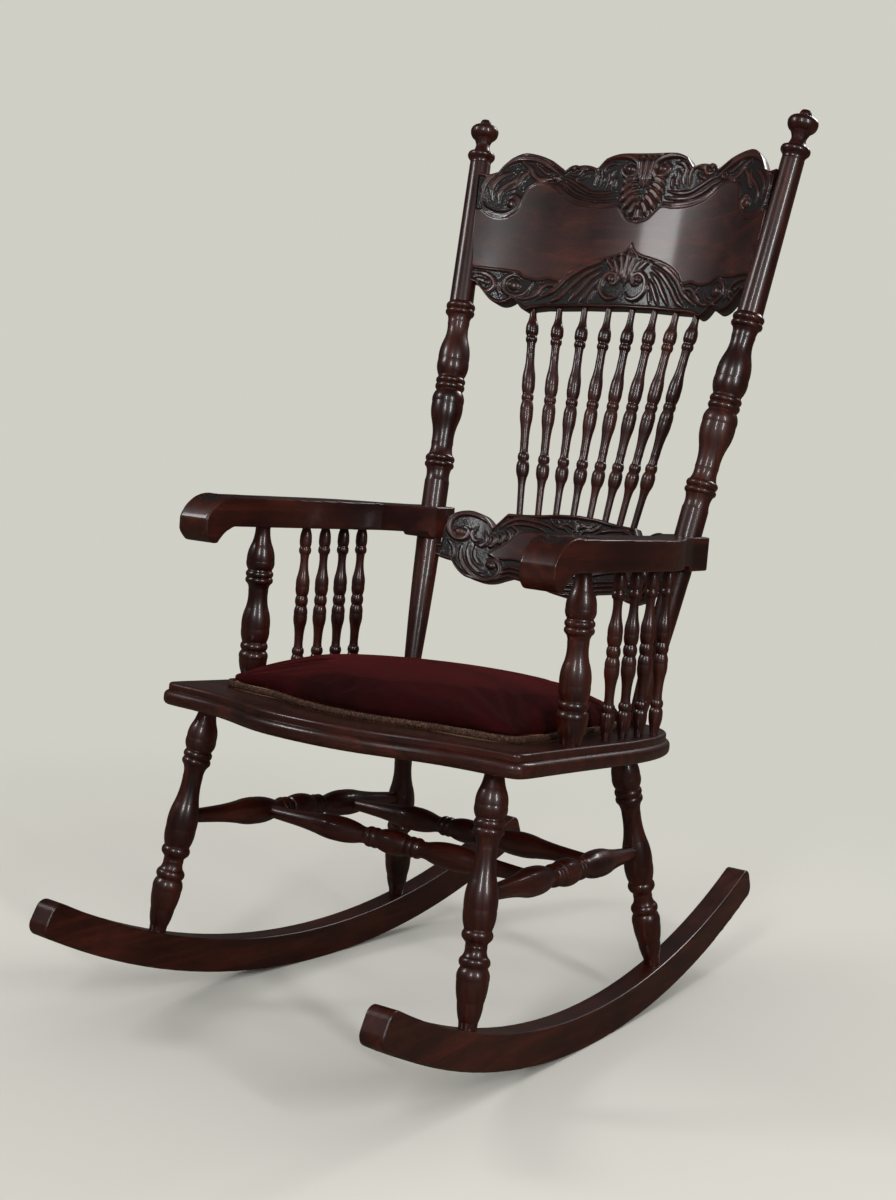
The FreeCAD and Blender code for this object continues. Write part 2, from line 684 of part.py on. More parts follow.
def arm_outline(side):
    """Plan of one arm: straight over the posts, then drawn in to the boss round the back post."""
    wide = "arm_width"
    reach = "arm_reach"
    shift = "arm_shift"
    boss_wide = "arm_boss_width"
    boss_long = "arm_boss_length"
    inner = mix(arm_shift=1, arm_overhang=-1)
    outer = less(inner, {wide: -1})
    points = [
        (inner, {reach: -1}, {}),
        (outer, {reach: -1}, {}),
        (outer, {reach: -0.41}, {wide: 0.11}),
        (mix(arm_shift=0.62, arm_boss_width=0.55), {reach: -0.22}, {wide: -0.09}),
        ({boss_wide: 0.5}, {boss_long: -0.42}, {}),
        ({boss_wide: 0.5}, {boss_long: 0.22}, {wide: 0.08}),
        ({boss_wide: 0.28}, {boss_long: 0.5}, {}),
        ({boss_wide: -0.28}, {boss_long: 0.5}, {wide: 0.08}),
        ({boss_wide: -0.5}, {boss_long: 0.22}, {}),
        ({boss_wide: -0.5}, {boss_long: -0.42}, {wide: -0.06}),
        (mix(arm_shift=0.5, arm_overhang=-1), {reach: -0.25}, {wide: 0.06})]
    if side > 0:
        return points
    return [(less({}, x), y, less({}, belly)) for x, y, belly in points]


def arm(name, side):
    """Arm rest: side outline with a rolled front, cut to its plan and bored from below."""
    height = values["arm_underside"] + values["arm_thickness"] / 2
    post_start, post_end = pieces["back_post_" + name[4:]][:2]
    axis = along(post_start, post_end, height)
    thick = "arm_thickness"
    fall = "arm_roll_drop"
    front = {"arm_reach": -1}
    profile = [
        (less(front, {thick: -0.55}), {fall: -1}, {thick: -0.08}),
        (less(front, {thick: -1.30}), {}, {}),
        ({"arm_boss_length": -0.62}, {fall: -0.30}, {}),
        ({"arm_boss_length": -0.52}, {"arm_boss_drop": -1}, {}),
        ({"arm_boss_length": 1}, {"arm_boss_drop": -1}, {}),
        ({"arm_boss_length": 1}, {thick: 0.78}, {}),
        (less(front, {thick: -1.55}), {thick: 1}, {thick: 0.30}),
        (front, {thick: 0.25}, {thick: 0.12}),
        (less(front, {thick: -0.22}), {fall: -0.80}, {thick: 0.05})]
    upright = Placement(Vector(0, axis.y, values["arm_underside"]), Rotation(Vector(1, 1, 1), 120))
    side_sketch = flat_outline(name + "_profile", profile, upright)
    wide = "Sizes.seat_half_width * 2"
    side_board = extruded(name + "_side", side_sketch, wide, wide)
    level = Placement(Vector(axis.x, axis.y, values["arm_underside"]), Rotation())
    plan = flat_outline(name + "_plan", arm_outline(side), level)
    plan_board = extruded(name + "_plan_board", plan, "Sizes.arm_thickness * 2", "Sizes.arm_thickness * 2")
    blank = common(name + "_blank", [side_board, plan_board])
    below = axis - (post_end - post_start).normalize() * values["arm_boss_length"]
    through = rod(name + "_post_hole", "Sizes.post_shaft_width / 2 + Sizes.socket_clearance",
                  "Sizes.arm_boss_length * 2", aim(below, post_end))
    holes = [through, socket("arm_post_" + name[4:], True)]
    holes += [socket("arm_spindle_%s_%d" % (name[4:], i), True) for i in range(1, 5)]
    bored(name, blank, holes)


def bowed_rail(name, key, half, closing, tenons):
    """Back rail: a carved board's outline cut from a bent slab, tenoned into both posts."""
    chord = values[key + "_half_chord"]
    bow = values[key + "_bow"]
    radius = (chord ** 2 + bow ** 2) / (2 * bow)
    note(key + "_bend", radius)
    base = Vector(0, 0, values[key + "_base"])
    upright = BACK_FRAME.multiply(Placement(base, Rotation(Vector(1, 0, 0), 90)))
    points = shares_of(mirrored(half, closing), key + "_half_span", key + "_rise")
    face = flat_outline(name + "_face", points, upright)
    depth = "Sizes.%s_bow + Sizes.%s_thickness" % (key, key)
    board = extruded(name + "_board", face, depth, depth)
    centre_foot = Vector(0, bow - radius, values[key + "_base"] - values[key + "_rise"])
    centre = BACK_FRAME.multiply(Placement(centre_foot, Rotation()))
    tall = "Sizes.%s_rise * 3" % key
    outer = rod(name + "_outside", "Sizes.%s_bend + Sizes.%s_thickness / 2" % (key, key), tall, centre)
    inner = rod(name + "_inside", "Sizes.%s_bend - Sizes.%s_thickness / 2" % (key, key), tall, centre)
    blank = common(name + "_blank", [board, drop(name + "_slab", outer, inner)])
    clear = "Sizes.post_shaft_width / 2 + Sizes.rail_gap"
    shaping = []
    for side_name, side in SIDES:
        start, end = pieces["back_post_" + side_name][:2]
        shaping.append(rod(name + "_room_" + side_name, clear, "Sizes.post_top * 2", aim(start, end)))
    for i in range(1, 9):
        shaping.append(socket("back_spindle_%d" % i, key == "crest"))
    shaped = drop(name + "_shaped", blank, joined(name + "_shaping", shaping))
    plugs = [rail_tenon(name, side, level, "") for side_name, side in SIDES for level in tenons]
    keep(name, joined(name + "_tenoned", [shaped] + plugs))


def rail_tenon(name, side, level, fit):
    """Round tenon lying along X at one level, from inside a rail into its post."""
    across = values["post_across"] + level * SPLAY
    inward = across - values["rail_tenon_length"] - values["rail_tenon_setback"]
    start = back_point(side * inward, values["rail_tenon_setback"], level)
    radius = "Sizes.rail_tenon_width / 2" + fit
    label = "%s_tenon_%s_%d" % (name, "right" if side > 0 else "left", abs(round(level)))
    if fit:
        label += "_hole"
    return rod(label, radius, "Sizes.rail_tenon_length" + fit, aim(start, start + Vector(side, 0, 0)))


def back_post(name, side):
    """Back post from the seat to its finial, splayed outward and raked back."""
    datum = back_point(side * values["post_across"], 0, 0)
    way = (back_point(side * (values["post_across"] + SPLAY), 0, 1) - datum).normalize()
    drop_to_seat = (datum.z - seat_top(datum.y)) / (way.z + way.y * SLOPE)
    start = datum - way * (drop_to_seat + values["seat_socket"])
    end = datum + way * (values["post_top"] / math.cos(math.radians(values["post_splay"])))
    return turned(name, POST_OUTLINE, "post_width", start, end)


def build_turnings():
    """All the lathe work, placed by the points it runs between."""
    for name, side in SIDES:
        leg("front_leg_" + name, side, "front")
        leg("rear_leg_" + name, side, "rear")
        back_post("back_post_" + name, side)
        front = pieces["front_leg_" + name]
        rear = pieces["rear_leg_" + name]
        start = along(front[0], front[1], values["side_stretcher_front_height"])
        end = along(rear[0], rear[1], values["side_stretcher_rear_height"])
        inside = values["leg_width"] / 2 - values["stretcher_socket"]
        start, end = stretched(start, end, -inside, -inside)
        turned("side_stretcher_" + name, STRETCHER_OUTLINE, "stretcher_width", start, end)
        place = values["arm_post_place"]
        foot = Vector(side * values["arm_post_foot_across"], place, seat_top(place))
        top = Vector(side * values["arm_post_top_across"], place, values["arm_underside"])
        start, end = stretched(foot, top, values["seat_socket"], values["arm_socket"])
        turned("arm_post_" + name, ARM_POST_OUTLINE, "arm_post_width", start, end)
        for i in range(4):
            place = values["arm_spindle_first"] + i * values["arm_spindle_pitch"]
            foot = Vector(side * values["arm_spindle_across"], place, seat_top(place))
            top = Vector(side * values["arm_spindle_across"], place, values["arm_underside"])
            start, end = stretched(foot, top, values["seat_socket"], values["arm_socket"])
            turned("arm_spindle_%s_%d" % (name, i + 1), ARM_SPINDLE_OUTLINE, "arm_spindle_width", start, end)
    for name in ("front", "rear"):
        ends = []
        for side_name, side in SIDES:
            start, end = pieces["side_stretcher_" + side_name][:2]
            point = at_place(start, end, values[name + "_cross_place"])
            inside = values["stretcher_width"] / 2 - values["stretcher_socket"]
            ends.append(point - Vector(side * inside, 0, 0))
        turned("cross_stretcher_" + name, STRETCHER_OUTLINE, "cross_stretcher_width", ends[1], ends[0])
    for i in range(8):
        step = i - 3.5
        low = step * values["back_spindle_foot_pitch"]
        high = step * values["back_spindle_top_pitch"]
        foot = back_point(low, bow_depth("rail", low), values["back_spindle_foot"])
        depth = bow_depth("crest", high) - values["back_spindle_forward"]
        top = back_point(high, depth, values["back_spindle_top"])
        start, end = stretched(foot, top, values["back_spindle_socket"], values["back_spindle_socket"])
        turned("back_spindle_%d" % (i + 1), BACK_SPINDLE_OUTLINE, "back_spindle_width", start, end)


def bore_turnings():
    """Holes in the legs and stretchers for the stretchers they carry, and in the posts for rails."""
    fit = " + Sizes.socket_clearance"
    for name, side in SIDES:
        stretcher = "side_stretcher_" + name
        front = socket(stretcher, False)
        rear = socket(stretcher, True)
        crosses = [socket("cross_stretcher_" + end, side > 0) for end in ("front", "rear")]
        bored("front_leg_" + name, nodes["front_leg_" + name], [front])
        bored("rear_leg_" + name, nodes["rear_leg_" + name], [rear])
        bored(stretcher, nodes[stretcher], crosses)
        levels = (values["crest_tenon_low"], values["crest_tenon_high"], values["rail_tenon_level"])
        holes = [rail_tenon("post", side, level, fit) for level in levels]
        bored("back_post_" + name, nodes["back_post_" + name], holes)


def build():
    """The whole chair."""
    build_turnings()
    note("arm_shift", arm_shift())
    note("arm_reach", arm_reach())
    note("runner_front_corner", end_corner(-values["runner_front_reach"]))
    note("runner_rear_corner", end_corner(values["runner_rear_reach"]))
    feet = [socket(stem + name, False) for name, side in SIDES for stem in ("back_post_", "arm_post_")]
    feet += [socket("arm_spindle_%s_%d" % (name, i), False) for name, side in SIDES for i in range(1, 5)]
    feet += [socket(stem + name, True) for name, side in SIDES for stem in ("front_leg_", "rear_leg_")]
    seat(feet)
    for name, side in SIDES:
        runner("runner_" + name, side)
        arm("arm_" + name, side)
    cushion()
    bowed_rail("crest_rail", "crest", CREST_HALF, 0, (values["crest_tenon_low"], values["crest_tenon_high"]))
    bowed_rail("lower_back_rail", "rail", RAIL_HALF, RAIL_FRONT_BELLY, (values["rail_tenon_level"],))
    bore_turnings()


def arm_axis():
    """Where the right back post passes the middle of the arm's thickness."""
    start, end = pieces["back_post_right"][:2]
    return along(start, end, values["arm_underside"] + values["arm_thickness"] / 2)


def arm_shift():
    """How far the arm post stands outside the back post."""
    return values["arm_post_top_across"] - arm_axis().x


def arm_reach():
    """Length of the arm from its front to the back post."""
    return values["arm_front"] + arm_axis().y


def check():
    """Stops before anything is written when a feature has failed."""
    for item in doc.Objects:
        if "Invalid" in item.State or "Error" in item.State:
            raise RuntimeError("failed feature: " + item.Label)
    for name, item in nodes.items():
        if item.Shape.isNull() or not item.Shape.isValid():
            raise RuntimeError("bad shape: " + name)


build()
doc.recompute()
check()
os.makedirs("parts", exist_ok=True)
for node_name, node in nodes.items():
    node.Shape.exportStep("parts/%s.step" % node_name)
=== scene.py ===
"""Turned rocking armchair: polished mahogany, carved rails and arms, an upholstered seat.

Metres. X runs across the chair, the sitter faces -Y, Z is up and the floor is Z = 0.
"""
import math

import bmesh
import bpy
import numpy as np
from mathutils import Matrix, Vector


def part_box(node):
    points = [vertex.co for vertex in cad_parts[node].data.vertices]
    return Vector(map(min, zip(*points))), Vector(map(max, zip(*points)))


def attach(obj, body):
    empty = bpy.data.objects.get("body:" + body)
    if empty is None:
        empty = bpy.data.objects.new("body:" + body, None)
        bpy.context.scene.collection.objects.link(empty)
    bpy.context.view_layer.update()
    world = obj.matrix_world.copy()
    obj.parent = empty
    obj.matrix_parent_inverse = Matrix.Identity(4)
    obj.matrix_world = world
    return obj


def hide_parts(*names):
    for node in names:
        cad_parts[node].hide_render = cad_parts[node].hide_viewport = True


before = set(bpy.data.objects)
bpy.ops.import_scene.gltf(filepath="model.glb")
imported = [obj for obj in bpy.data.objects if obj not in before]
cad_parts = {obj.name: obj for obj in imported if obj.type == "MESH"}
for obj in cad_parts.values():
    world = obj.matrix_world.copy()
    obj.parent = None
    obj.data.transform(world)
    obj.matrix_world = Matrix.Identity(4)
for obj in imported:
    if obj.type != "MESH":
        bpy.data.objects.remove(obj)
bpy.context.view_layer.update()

MM = 0.001

# Camera: place, compass angle, angle below the horizon, roll and lens.
CAMERA_PLACE = Vector((1.2237, -1.8173, 0.7324))
CAMERA_AZIMUTH = math.radians(34.614)
CAMERA_DROP = math.radians(5.966)
CAMERA_ROLL = math.radians(4.645)
CAMERA_LENS = 53.546

# The back's own frame: datum between the posts and rake of the posts.
BACK_PLACE = 0.2002
BACK_HEIGHT = 0.6647
BACK_RAKE = math.radians(12.57)

# Carved rails, in millimetres up the rake: bow, half chord, thickness and outlines (x, level, belly).
CREST = {"bow": 62.0, "chord": 218.0, "thickness": 22.0}
CREST_TOP = [(0, 463, 0), (30, 463, 0), (61, 454, 2), (73, 439, 0), (100, 441, 3), (117, 432, 4),
             (135, 444, 0), (169, 451, 2), (203, 417, 7), (212, 412, 0), (226, 412, 0)]
CREST_FOOT = [(0, 244, 0), (56, 242, 0), (118, 236, 0), (136, 232, 0), (160, 241, -7), (166, 241, 0),
              (206, 246, -11), (216, 256, 0), (226, 257, 0)]
CREST_TAPER = 14.0
CREST_TAPER_LEVEL = 412.0
CREST_TAPER_RUN = 160.0
RAIL = {"bow": 66.0, "chord": 185.0, "thickness": 20.0}
RAIL_TOP = [(0, -43, 0), (32, -45, 0), (99, -54, -1), (115, -77, 0), (135, -61, 3), (164, -67, 4),
            (170, -74, 0), (171, -112, 0), (188, -112, 0)]
RAIL_FOOT = [(0, -155, 0), (22, -152, 0), (47, -145, 0), (82, -141, 0), (93, -146, 0), (132, -151, -5),
             (157, -132, -5), (170, -131, 0), (188, -126, 0)]

# Seat: place and height of its upper face, its fall to the rear, and the cushion's lift above it.
SEAT_PLACE = -0.018
SEAT_HEIGHT = 0.373
SEAT_FALL = math.tan(math.radians(2.86))
CUSHION_LIFT = 0.0063

# Arms: middle of the straight part, where its front lies and how far back the carving goes.
ARM_MIDDLE = 0.244
ARM_FRONT = -0.240
ARM_CARVED_RUN = 109.0

# Carving, in millimetres: depth of the cut ground, its punched dimples, the bead along each rail's
# edge, and a level below everything.
GROUND = -2.2
STIPPLE_PITCH = 2.4
STIPPLE_DEPTH = 0.4
LIP_WIDTH = 5.5
LIP_HEIGHT = 3.4
LIP_MIDDLE = 2.6
LIP_HALF = 2.9
BELOW_ALL = -9

# Strokes: swell of the crest's, depth of each vein, half width and height of the border lines, the
# ends of a line that keeps its width, and the normals' upward share over which the arm's carving starts.
CREST_SWELL = 1.08
CREST_VEIN = 0.16
RAIL_VEIN = 0.25
ARM_VEIN = 0.2
CREST_BORDER_SIZE = (2.0, 3.2)
RAIL_BORDER_SIZE = (1.8, 2.8)
ARM_BORDER_SIZE = (1.4, 2.6)
EVEN = (1, 1)
ARM_UPWARD = (0.25, 0.45)


def sampled(line, steps=16):
    """Places along a bowed outline: each edge a parabola whose middle stands off by its belly."""
    share = np.linspace(0, 1, steps, endpoint=False)
    runs = []
    for (x0, s0, skip), (x1, s1, belly) in zip(line, line[1:]):
        runs.append(np.stack([x0 + (x1 - x0) * share,
                              s0 + (s1 - s0) * share + 4 * belly * share * (1 - share)], axis=1))
    runs.append(np.array([line[-1][:2]], float))
    return np.concatenate(runs)


def smooth_line(points, steps=14):
    """Catmull-Rom curve through given points, as an array of places."""
    points = np.asarray(points, float)
    padded = np.concatenate([[2 * points[0] - points[1]], points, [2 * points[-1] - points[-2]]])
    t = np.linspace(0, 1, steps, endpoint=False)[None, :, None]
    p0, p1, p2, p3 = (padded[i:len(padded) - 3 + i, None, :] for i in range(4))
    curve = 0.5 * (2 * p1 + (p2 - p0) * t + (2 * p0 - 5 * p1 + 4 * p2 - p3) * t ** 2
                   + (3 * p1 - p0 - 3 * p2 + p3) * t ** 3)
    return np.concatenate([curve.reshape(-1, points.shape[1]), points[-1:]])


def eased(value, low, high):
    """Smooth step from 0 at low to 1 at high."""
    share = np.clip((value - low) / (high - low), 0, 1)
    return share * share * (3 - 2 * share)


def nearest(x, s, line):
    """Distance of every place to a line, and how far along the line its nearest point lies."""
    start = line[:-1]
    way = line[1:] - start
    run = np.maximum((way ** 2).sum(1), 1e-9)
    offset = np.stack([x[:, None] - start[:, 0], s[:, None] - start[:, 1]], axis=-1)
    share = np.clip((offset * way).sum(-1) / run, 0, 1)
    gap = np.hypot(offset[..., 0] - share * way[:, 0], offset[..., 1] - share * way[:, 1])
    best = gap.argmin(1)
    rows = np.arange(len(x))
    return gap[rows, best], (best + share[rows, best]) / len(start)


def add_stroke(level, x, s, route, width, height, vein=0.0, ends=(0.3, 0.3)):
    """Raises a half-round strand along a route, narrower towards its ends, with a vein if asked."""
    line = smooth_line(route)
    low = line.min(0) - width
    high = line.max(0) + width
    near = (x > low[0]) & (x < high[0]) & (s > low[1]) & (s < high[1])
    if not near.any():
        return
    gap, along = nearest(x[near], s[near], line)
    slim = np.minimum(ends[0] + 3.2 * along, ends[1] + 3.2 * (1 - along)).clip(0, 1)
    half = width * slim
    ridge = height * (0.45 + 0.55 * slim) * np.sqrt(np.clip(1 - (gap / half) ** 2, 0, None))
    ridge -= vein * height * np.exp(-(gap / (0.28 * half)) ** 2)
    base = level[near]
    level[near] = np.where(gap < half, np.maximum(base, GROUND + ridge), base)


def add_eye(level, x, s, centre, radius, height):
    """Raises a round boss."""
    gap = np.hypot(x - centre[0], s - centre[1]) / radius
    boss = GROUND + height * np.sqrt(np.clip(1 - gap ** 2, 0, None))
    np.copyto(level, np.maximum(level, boss), where=gap < 1)


def stipple(x, s):
    """Punched ground: uneven rows of small dimples."""
    across = np.cos(2 * np.pi * x / STIPPLE_PITCH + 1.5 * np.sin(s * 0.9))
    up = np.cos(2 * np.pi * s / STIPPLE_PITCH + 1.5 * np.sin(x * 0.8))
    return STIPPLE_DEPTH * across * up


# Carving of the crest rail, right half: (route of distance across and level, half width, height).
CREST_STRANDS = [
    ([(215, 372), (217, 395), (206, 418), (190, 436), (169, 443), (151, 441), (136, 433),
      (121, 424)], 4.5, 4.2),
    ([(218, 380), (212, 364), (199, 358), (184, 359), (173, 368), (170, 380), (178, 387),
      (185, 381)], 4.0, 4.0),
    ([(205, 376), (207, 395), (199, 410), (186, 420)], 3.6, 3.4),
    ([(196, 372), (197, 388), (190, 400), (180, 410), (176, 424)], 3.2, 3.0),
    ([(186, 394), (178, 402), (172, 416), (162, 428)], 3.2, 3.0),
    ([(176, 436), (165, 430), (158, 420), (150, 415), (139, 417), (128, 419)], 4.0, 3.6),
    ([(160, 438), (150, 430), (142, 425), (134, 426)], 3.0, 3.0),
    ([(133, 412), (120, 406), (104, 395), (80, 389), (56, 388), (36, 391)], 3.4, 3.8),
    ([(130, 417), (113, 411), (98, 402), (78, 396), (58, 396), (37, 399)], 3.2, 3.6),
    ([(126, 423), (108, 419), (92, 411), (76, 404), (58, 404), (40, 408)], 3.0, 3.2),
    ([(74, 414), (72, 428), (74, 442), (62, 453), (46, 458), (29, 457), (15, 450), (12, 438), (20, 429),
      (31, 431), (36, 441), (29, 449)], 4.2, 4.6),
    ([(66, 412), (62, 424), (64, 437), (56, 446), (45, 447)], 3.4, 3.4),
    ([(56, 411), (52, 421), (53, 431), (48, 438)], 3.0, 3.0),
    ([(46, 411), (44, 420), (44, 428)], 2.6, 2.8),
    ([(82, 438), (93, 436), (100, 428), (112, 428)], 3.2, 3.0),
    ([(84, 430), (92, 424), (102, 420)], 2.6, 2.6),
    ([(120, 430), (118, 438), (112, 441)], 3.6, 3.8),
    ([(108, 432), (106, 439), (101, 441)], 3.4, 3.6),
    ([(96, 434), (94, 439), (88, 441)], 3.4, 3.4),
    ([(0, 330), (0, 300), (0, 276)], 4.0, 5.0),
    ([(12, 322), (7, 304), (3, 280)], 3.6, 4.4),
    ([(23, 315), (14, 300), (7, 282)], 3.4, 4.0),
    ([(34, 312), (26, 304), (16, 294)], 3.2, 3.4),
    ([(4, 266), (10, 258), (23, 257), (33, 267), (33, 282), (24, 292), (13, 289), (13, 278),
      (22, 277)], 3.4, 4.2),
    ([(38, 309), (62, 299), (84, 282), (100, 262), (122, 246)], 3.8, 4.2),
    ([(38, 302), (58, 290), (76, 272), (92, 252), (104, 244)], 3.4, 3.8),
    ([(38, 294), (52, 282), (65, 264), (78, 247)], 3.2, 3.6),
    ([(38, 284), (47, 272), (55, 258), (62, 247)], 3.0, 3.2),
    ([(41, 270), (44, 260), (48, 249)], 2.6, 2.8),
    ([(90, 278), (98, 270), (112, 268), (122, 258), (134, 248)], 3.2, 3.4),
    ([(126, 270), (118, 262), (124, 252), (136, 246), (150, 243)], 2.8, 2.8),
    ([(132, 268), (140, 252), (154, 247), (167, 254), (168, 268), (158, 276), (146, 272)], 3.0, 3.4),
    ([(212, 270), (198, 272), (186, 268), (180, 258), (187, 248), (198, 250)], 3.2, 3.4),
    ([(206, 262), (197, 262), (190, 259)], 2.6, 2.6),
    ([(172, 246), (175, 256), (174, 268)], 2.4, 2.6)]
CREST_EYES = [((24, 440), 6.5, 4.2), ((179, 376), 7.5, 4.2), ((155, 262), 8.0, 4.4), ((21, 284), 6.0, 3.8),
              ((190, 260), 4.5, 3.0), ((128, 420), 5.0, 4.0)]
CREST_BORDERS = [
    [(0, 364), (4, 365), (16, 369), (27, 380), (35, 386), (53, 384), (79, 384), (103, 390), (115, 398),
     (126, 406), (141, 411), (155, 408), (163, 400), (167, 383), (172, 367), (184, 355), (200, 353),
     (214, 360)],
    [(0, 334), (8, 322), (22, 316), (37, 312), (62, 304), (82, 291), (94, 277), (110, 278), (125, 273),
     (143, 275), (152, 280), (171, 280), (191, 279), (216, 278)]]
SHELL_RIBS = [((13, 426), (23, 424), (32, 418)), ((11, 419), (23, 415), (33, 405)),
              ((8, 411), (20, 405), (31, 393)), ((4, 403), (15, 396), (26, 381)),
              ((1, 394), (9, 386), (15, 372)), ((0, 386), (1, 376), (2, 366))]
FAN_RIBS = [((0, 460), (0, 438), (0, 414)), ((10, 459), (8, 438), (4, 416)),
            ((21, 424), (14, 432), (9, 442))]


def shell_strands():
    """Ribs of the shell that hangs from the crest's middle, and of the small fan above it."""
    return [(rib, 4.6, 5.4) for rib in SHELL_RIBS] + [(rib, 4.4, 4.8) for rib in FAN_RIBS]


def between(x, line):
    """Level of a border line at a distance from the middle."""
    places = smooth_line(line)
    return np.interp(x, places[:, 0], places[:, 1])


def edge_lip(s, top, foot):
    """Half-round bead that follows a rail's edge, and a level below everything away from it."""
    rim = np.minimum(top - s, s - foot)
    round_top = np.sqrt(np.clip(1 - ((rim - LIP_MIDDLE) / LIP_HALF) ** 2, 0, None))
    return np.where(rim < LIP_WIDTH, GROUND + LIP_HEIGHT * round_top, BELOW_ALL)


def crest_relief(x, s, top, foot):
    """Carving height over the crest rail, and how deep each place lies in the ground, which sets the share of
    dark wax and painted shade there.
    """
    upper = between(x, CREST_BORDERS[0])
    lower = between(x, CREST_BORDERS[1])
    carved = np.maximum(eased(s - upper, -1, 1), eased(lower - s, -1, 1))
    level = GROUND * carved + stipple(x, s) * carved
    for border in CREST_BORDERS:
        add_stroke(level, x, s, border, *CREST_BORDER_SIZE, ends=EVEN)
    for route, width, height in CREST_STRANDS + shell_strands():
        add_stroke(level, x, s, route, width * CREST_SWELL, height, vein=CREST_VEIN)
    for centre, radius, height in CREST_EYES:
        add_eye(level, x, s, centre, radius, height)
    level = np.maximum(level, edge_lip(s, top, foot))
    return level, carved * eased(-level, -0.6, 1.6)


# Carving of the lower back rail, right half, in the same form.
RAIL_STRANDS = [
    ([(118, -76), (126, -69), (140, -64), (155, -66), (165, -76), (166, -90), (157, -100), (146, -97),
      (144, -87), (151, -83)], 3.8, 4.2),
    ([(148, -108), (147, -122), (139, -137), (125, -147), (110, -149), (98, -142), (95, -131), (102, -122),
      (111, -123), (113, -130)], 3.8, 4.4),
    ([(140, -104), (139, -118), (133, -131), (122, -139), (112, -139)], 3.0, 3.4),
    ([(132, -106), (131, -117), (126, -126), (119, -131)], 2.8, 3.0),
    ([(166, -104), (158, -112), (155, -124), (160, -130)], 2.8, 2.8),
    ([(134, -80), (139, -90), (134, -99), (126, -96)], 3.0, 3.4),
    ([(124, -84), (119, -95), (124, -104), (132, -104)], 3.0, 3.4),
    ([(116, -86), (109, -93), (112, -102), (120, -102)], 3.0, 3.4),
    ([(108, -82), (101, -87), (101, -95), (108, -97)], 2.8, 3.2),
    ([(100, -77), (93, -80), (91, -87), (97, -91)], 2.8, 3.2),
    ([(91, -72), (84, -74), (81, -80), (86, -83)], 2.6, 3.0),
    ([(106, -76), (97, -66), (82, -59), (60, -59), (42, -62), (30, -68)], 3.0, 3.6),
    ([(98, -74), (86, -67), (70, -65), (54, -67), (44, -71)], 2.8, 3.2),
    ([(30, -52), (22, -58), (12, -57), (4, -62)], 2.8, 3.2),
    ([(40, -53), (34, -58), (26, -62), (17, -63), (10, -68)], 2.6, 3.0),
    ([(0, -50), (0, -60), (0, -70)], 3.2, 3.8)]
RAIL_EYES = [((154, -91), 6.5, 4.0), ((107, -129), 5.5, 4.0), ((0, -72), 4.0, 3.6)]
RAIL_FIELD_TOP = [(0, -76), (18, -73), (40, -75), (62, -74), (78, -79), (88, -89), (97, -98), (106, -106),
                  (112, -112)]
RAIL_FIELD_FOOT = [(0, -126), (20, -126), (40, -122), (62, -117), (80, -115), (92, -117), (104, -117),
                   (112, -114)]
RAIL_FIELD_END = 112.0
RAIL_BEADS = (9.0, 15.0)
RAIL_BEAD_HALF = 2.2
RAIL_BEAD_HEIGHT = 3.0
RAIL_BEAD_END = 96
RAIL_BEAD_REACH = 8
RAIL_DEEPEST = GROUND - 1.0


def rail_relief(x, s, top, foot):
    """Carving height over the lower back rail, and how deep each place lies in the ground, which sets the
    share of dark wax and painted shade there.
    """
    upper = between(x, RAIL_FIELD_TOP)
    lower = between(x, RAIL_FIELD_FOOT)
    carved = np.maximum(eased(s - upper, -1, 1), eased(lower - s, -1, 1))
    carved = np.maximum(carved, eased(x, RAIL_FIELD_END - 1, RAIL_FIELD_END + 1))
    level = GROUND * carved + stipple(x, s) * carved
    for border in (RAIL_FIELD_TOP, RAIL_FIELD_FOOT):
        add_stroke(level, x, s, border, *RAIL_BORDER_SIZE, ends=EVEN)
    for route, width, height in RAIL_STRANDS:
        add_stroke(level, x, s, route, width, height, vein=RAIL_VEIN)
    for centre, radius, height in RAIL_EYES:
        add_eye(level, x, s, centre, radius, height)
    for inset in RAIL_BEADS:
        offset = (s - foot - inset) / RAIL_BEAD_HALF
        bead = GROUND + RAIL_BEAD_HEIGHT * np.sqrt(np.clip(1 - offset ** 2, 0, None))
        near = (x < RAIL_BEAD_END) & (offset <= RAIL_BEAD_REACH)
        level = np.maximum(level, np.where(near, bead, RAIL_DEEPEST))
    level = np.maximum(level, edge_lip(s, top, foot))
    return level, carved * eased(-level, -0.6, 1.6)


def bow_depth(rail, x):
    """How far a bowed rail's middle lies behind the posts' plane, in millimetres."""
    radius = (rail["chord"] ** 2 + rail["bow"] ** 2) / (2 * rail["bow"])
    return np.sqrt(radius ** 2 - x ** 2) - (radius - rail["bow"])


def back_places(x, depth, level):
    """Places of the back's frame, in millimetres, as metres in the chair's frame."""
    y = BACK_PLACE + (depth * math.cos(BACK_RAKE) + level * math.sin(BACK_RAKE)) * MM
    z = BACK_HEIGHT + (level * math.cos(BACK_RAKE) - depth * math.sin(BACK_RAKE)) * MM
    return np.stack(np.broadcast_arrays(x * MM, y, z), axis=-1)


